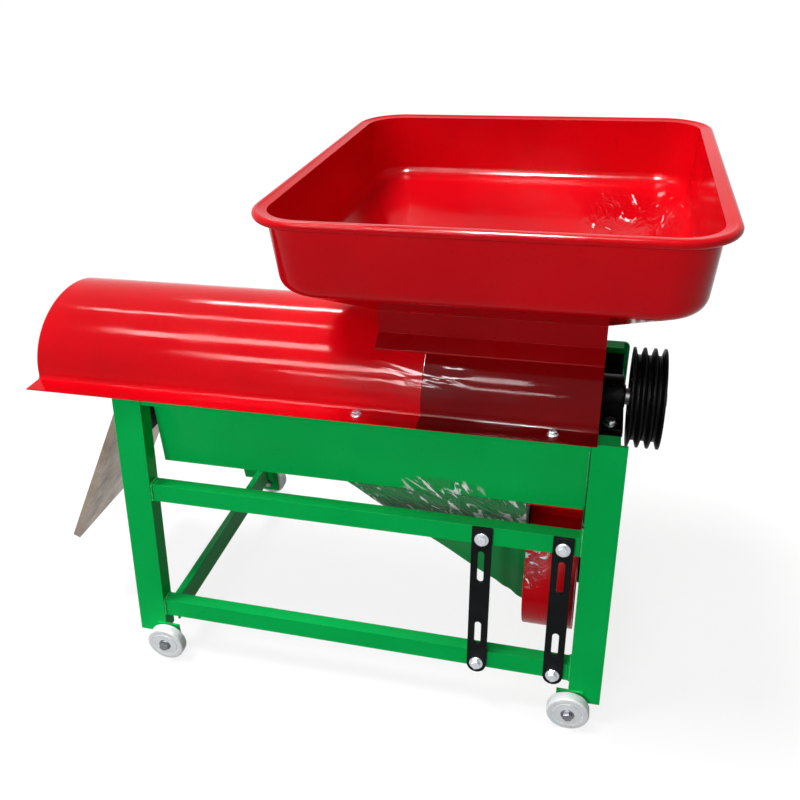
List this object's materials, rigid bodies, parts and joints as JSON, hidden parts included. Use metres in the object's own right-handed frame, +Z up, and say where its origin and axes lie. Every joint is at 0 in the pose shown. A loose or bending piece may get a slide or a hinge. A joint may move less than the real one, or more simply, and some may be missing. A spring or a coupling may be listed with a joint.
{
  "type": "corn sheller",
  "caption": "Free-standing maize sheller: a feed pan over a covered spiked drum and sieve, with a grain chute, a fan and a cob chute on a splayed angle-iron frame with wheels.",
  "frame": {"origin": "on the floor under the middle of the whole machine", "axes": "+X along the machine towards the pulley end, +Y towards the rear side, +Z up"},
  "size_m": [1.0476, 0.6806, 0.7717],
  "materials": {
    "green_paint": "gloss green paint",
    "red_paint": "high gloss red paint",
    "dark_red_paint": "semi-gloss dark red paint",
    "black_paint": "semi-gloss black paint",
    "black_iron": "black painted castings",
    "galvanised_steel": "dull galvanised sheet",
    "zinc_steel": "bright zinc plating",
    "bare_steel": "machined steel",
    "white_nylon": "off-white nylon"
  },
  "bodies": {
    "frame": {"leg_front_left": "green_paint", "leg_front_right": "green_paint", "leg_rear_left": "green_paint", "leg_rear_right": "green_paint", "mid_rail_front": "green_paint", "mid_rail_rear": "green_paint", "lower_rail_front": "green_paint", "lower_rail_rear": "green_paint", "top_rail_front": "green_paint", "top_rail_rear": "green_paint", "lower_side_rail_left": "green_paint", "lower_side_rail_right": "green_paint", "end_beam_left": "black_paint", "end_beam_right": "black_paint", "side_panel_front": "green_paint", "side_panel_rear": "green_paint", "drum_hood": "red_paint", "feed_cover": "red_paint", "trough_end_plate": "green_paint", "concave_sieve": "galvanised_steel", "hopper_throat": "dark_red_paint", "hopper_pan": "red_paint", "grain_chute": "green_paint", "cob_chute": "galvanised_steel", "fan_casing": "red_paint", "fan_side_cover": "red_paint", "fan_bearing": "black_iron", "pillow_block_left": "black_iron", "pillow_block_right": "black_iron", "slotted_bar_left": "black_paint", "slotted_bar_right": "black_paint", "bearing_bolt_left_front": "zinc_steel", "bearing_bolt_left_rear": "zinc_steel", "bearing_bolt_right_front": "zinc_steel", "bearing_bolt_right_rear": "zinc_steel", "bar_bolt_left_upper": "zinc_steel", "bar_bolt_left_lower": "zinc_steel", "bar_bolt_right_upper": "zinc_steel", "bar_bolt_right_lower": "zinc_steel", "cover_bolt_hood_front": "zinc_steel", "cover_bolt_hood_rear": "zinc_steel", "cover_bolt_feed_front": "zinc_steel", "cover_bolt_feed_rear": "zinc_steel", "axle_bolt_front_left": "zinc_steel", "axle_bolt_front_right": "zinc_steel", "axle_bolt_rear_left": "zinc_steel", "axle_bolt_rear_right": "zinc_steel"},
    "drum": {"drum_shaft": "bare_steel", "drum_barrel": "bare_steel", "drum_pulley": "black_iron", "beater_bar_1": "bare_steel", "beater_bar_2": "bare_steel", "beater_bar_3": "bare_steel", "beater_bar_4": "bare_steel"},
    "fan": {"fan_shaft": "bare_steel", "fan_impeller": "galvanised_steel"},
    "wheel_front_left": {"wheel_front_left": "white_nylon"},
    "wheel_front_right": {"wheel_front_right": "white_nylon"},
    "wheel_rear_left": {"wheel_rear_left": "white_nylon"},
    "wheel_rear_right": {"wheel_rear_right": "white_nylon"}
  },
  "joints": [
    {"name": "drum_spin", "type": "hinge", "parent": "frame", "child": "drum", "pos_m": [0.00779, -0.08319, 0.4529], "axis": [1, 0, 0], "continuous": true},
    {"name": "fan_spin", "type": "hinge", "parent": "frame", "child": "fan", "pos_m": [0.33779, -0.11469, 0.1437], "axis": [1, 0, 0], "continuous": true},
    {"name": "wheel_front_left_spin", "type": "hinge", "parent": "frame", "child": "wheel_front_left", "pos_m": [-0.29471, -0.32481, 0.0322], "axis": [0, 1, 0], "continuous": true},
    {"name": "wheel_front_right_spin", "type": "hinge", "parent": "frame", "child": "wheel_front_right", "pos_m": [0.37959, -0.32481, 0.0322], "axis": [0, 1, 0], "continuous": true},
    {"name": "wheel_rear_left_spin", "type": "hinge", "parent": "frame", "child": "wheel_rear_left", "pos_m": [-0.29471, 0.15844, 0.0322], "axis": [0, 1, 0], "continuous": true},
    {"name": "wheel_rear_right_spin", "type": "hinge", "parent": "frame", "child": "wheel_rear_right", "pos_m": [0.37959, 0.15844, 0.0322], "axis": [0, 1, 0], "continuous": true}
  ]
}
